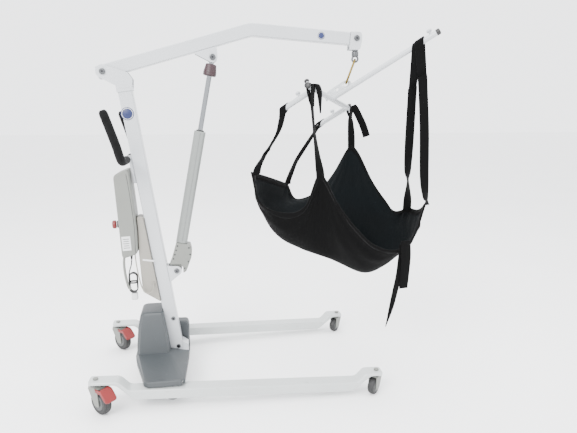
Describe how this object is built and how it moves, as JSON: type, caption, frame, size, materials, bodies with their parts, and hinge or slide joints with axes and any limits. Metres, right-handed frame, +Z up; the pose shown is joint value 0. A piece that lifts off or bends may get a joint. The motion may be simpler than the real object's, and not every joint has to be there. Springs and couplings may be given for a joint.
{
  "type": "patient lift hoist",
  "caption": "Wheeled patient lift with spreading legs, leaning mast, actuator-lifted boom, swivel hanger, spreader bar and fabric sling.",
  "frame": {"origin": "on the floor, under the middle of the overall box", "axes": "+X towards the open ends of the legs and the boom tip, +Y to the left-hand side, +Z up"},
  "size_m": [1.362, 0.6976, 1.4498],
  "materials": {
    "white_paint": "gloss",
    "grey_plastic": "matte",
    "light_plastic": "satin",
    "steel": "satin",
    "chrome": "polished",
    "zinc": "satin",
    "black_plastic": "matte",
    "foam": "matte",
    "red_plastic": "satin",
    "maroon_plastic": "matte",
    "cloth": "woven",
    "lead": "matte"
  },
  "bodies": {
    "chassis": {"base_beam": "white_paint", "base_cover": "grey_plastic", "mast_foot": "white_paint", "mast_bolt_upper": "steel", "mast_bolt_lower": "steel", "mast": "white_paint", "head_bracket": "white_paint", "boom_pivot_bolt": "steel", "actuator_bracket": "white_paint", "actuator_foot_bolt": "steel", "control_box": "light_plastic", "control_mount": "light_plastic", "stop_button_base": "black_plastic", "handle_bracket": "white_paint", "actuator_lead": "light_plastic", "charger_lead": "lead", "charger_hank": "lead", "charger_plug": "light_plastic", "leg_pivot_bolt_left": "steel", "hand_grip_left": "foam", "leg_pivot_bolt_right": "steel", "hand_grip_right": "foam"},
    "boom": {"boom": "white_paint", "boom_lug": "white_paint", "lug_bolt_near": "steel", "lug_bolt_far": "steel", "boom_end_bracket": "white_paint", "boom_end_bolt": "steel"},
    "cylinder": {"motor_housing": "light_plastic", "actuator_tube": "light_plastic"},
    "rod": {"actuator_rod": "chrome"},
    "collar": {"lowering_collar": "maroon_plastic"},
    "hanger": {"hanger_link": "steel"},
    "swivel": {"swivel_eye": "steel"},
    "carabiner": {"carabiner": "zinc"},
    "gate": {"carabiner_gate": "zinc"},
    "spreader": {"spreader_bar": "white_paint", "sling_body": "cloth", "sling_tail": "cloth", "strap_head_near": "cloth", "strap_head_far": "cloth", "strap_side_near": "cloth", "strap_side_far": "cloth", "strap_leg_far": "cloth", "strap_leg_near": "cloth"},
    "stop_button": {"stop_button": "red_plastic"},
    "leg_left": {"leg_left": "white_paint"},
    "leg_right": {"leg_right": "white_paint"},
    "fork_rear_left": {"caster_fork_rear_left": "light_plastic"},
    "wheel_rear_left": {"caster_wheel_rear_left": "black_plastic"},
    "pedal_left": {"brake_pedal_left": "red_plastic"},
    "fork_front_left": {"caster_fork_front_left": "light_plastic"},
    "wheel_front_left": {"caster_wheel_front_left": "black_plastic"},
    "fork_rear_right": {"caster_fork_rear_right": "light_plastic"},
    "wheel_rear_right": {"caster_wheel_rear_right": "black_plastic"},
    "pedal_right": {"brake_pedal_right": "red_plastic"},
    "fork_front_right": {"caster_fork_front_right": "light_plastic"},
    "wheel_front_right": {"caster_wheel_front_right": "black_plastic"}
  },
  "joints": [
    {"name": "leg_left_spread", "type": "hinge", "parent": "chassis", "child": "leg_left", "pos_m": [-0.37163, 0.29212, 0.08353], "axis": [0, 0, 1], "range_deg": [0, 12]},
    {"name": "leg_right_spread", "type": "hinge", "parent": "chassis", "child": "leg_right", "pos_m": [-0.37163, -0.27838, 0.08353], "axis": [0, 0, 1], "range_deg": [-12, 0]},
    {"name": "swivel_rear_left", "type": "hinge", "parent": "leg_left", "child": "fork_rear_left", "pos_m": [-0.65044, 0.28287, 0.09], "axis": [0, 0, 1], "continuous": true},
    {"name": "roll_rear_left", "type": "hinge", "parent": "fork_rear_left", "child": "wheel_rear_left", "pos_m": [-0.63206, 0.26448, 0.0475], "axis": [0.7071, 0.7071, 0], "continuous": true},
    {"name": "brake_left", "type": "hinge", "parent": "fork_rear_left", "child": "pedal_left", "pos_m": [-0.63135, 0.26378, 0.101], "axis": [0.7071, 0.7071, 0], "range_deg": [0, 8]},
    {"name": "swivel_front_left", "type": "hinge", "parent": "leg_left", "child": "fork_front_left", "pos_m": [0.42834, 0.31866, 0.09], "axis": [0, 0, 1], "continuous": true},
    {"name": "roll_front_left", "type": "hinge", "parent": "fork_front_left", "child": "wheel_front_left", "pos_m": [0.41562, 0.30593, 0.034], "axis": [0.7071, -0.7071, 0], "continuous": true},
    {"name": "swivel_rear_right", "type": "hinge", "parent": "leg_right", "child": "fork_rear_right", "pos_m": [-0.65044, -0.26913, 0.09], "axis": [0, 0, 1], "continuous": true},
    {"name": "roll_rear_right", "type": "hinge", "parent": "fork_rear_right", "child": "wheel_rear_right", "pos_m": [-0.63206, -0.28752, 0.0475], "axis": [0.7071, 0.7071, 0], "continuous": true},
    {"name": "brake_right", "type": "hinge", "parent": "fork_rear_right", "child": "pedal_right", "pos_m": [-0.63135, -0.28822, 0.101], "axis": [0.7071, 0.7071, 0], "range_deg": [0, 8]},
    {"name": "swivel_front_right", "type": "hinge", "parent": "leg_right", "child": "fork_front_right", "pos_m": [0.42834, -0.30492, 0.09], "axis": [0, 0, 1], "continuous": true},
    {"name": "roll_front_right", "type": "hinge", "parent": "fork_front_right", "child": "wheel_front_right", "pos_m": [0.41562, -0.31765, 0.034], "axis": [0.7071, -0.7071, 0], "continuous": true},
    {"name": "boom_lift", "type": "hinge", "parent": "chassis", "child": "boom", "pos_m": [-0.59644, 0.00687, 1.258], "axis": [0, -1, 0], "range_deg": [-27, 6]},
    {"name": "cylinder_tilt", "type": "hinge", "parent": "chassis", "child": "cylinder", "pos_m": [-0.35144, 0.00687, 0.458], "axis": [0, -1, 0], "range_deg": [-2.4, 0.6]},
    {"name": "rod_extension", "type": "slide", "parent": "cylinder", "child": "rod", "axis": [0.195, 0, 0.9808], "range_m": [-0.196, 0.044]},
    {"name": "collar_turn", "type": "hinge", "parent": "rod", "child": "collar", "pos_m": [-0.18997, 0.00687, 1.2701], "axis": [0.195, 0, 0.9808], "range_deg": [0, 90]},
    {"name": "hanger_level", "type": "hinge", "parent": "boom", "child": "hanger", "pos_m": [0.40256, 0.00687, 1.402], "axis": [0, -1, 0], "range_deg": [-6.5, 27.5]},
    {"name": "swivel_spin", "type": "hinge", "parent": "hanger", "child": "swivel", "pos_m": [0.40256, 0.00687, 1.352], "axis": [0, 0, 1], "range_deg": [-120, 150]},
    {"name": "carabiner_swing", "type": "hinge", "parent": "swivel", "child": "carabiner", "pos_m": [0.40256, 0.00687, 1.3196], "axis": [0.2588, 0.9659, 0], "range_deg": [-20, 20]},
    {"name": "gate_open", "type": "hinge", "parent": "carabiner", "child": "gate", "pos_m": [0.38573, 0.03208, 1.25659], "axis": [0.9084, -0.2434, -0.34], "range_deg": [0, 25], "stiffness_Nm_per_rad": 0.02},
    {"name": "spreader_tilt", "type": "hinge", "parent": "carabiner", "child": "spreader", "pos_m": [0.36956, 0.01587, 1.225], "axis": [0.6285, 0.7503, -0.2051], "range_deg": [-20, 20]},
    {"name": "stop_press", "type": "slide", "parent": "chassis", "child": "stop_button", "axis": [0.9989, 0, 0.0471], "range_m": [0, 0.004], "stiffness_N_per_m": 400}
  ],
  "couplings": [
    {"joint": "leg_right_spread", "follows": "leg_left_spread", "ratio": -1},
    {"joint": "cylinder_tilt", "follows": "boom_lift", "ratio": 0.085},
    {"joint": "rod_extension", "follows": "boom_lift", "m_per_rad": 0.4137},
    {"joint": "hanger_level", "follows": "boom_lift", "ratio": -1}
  ]
}
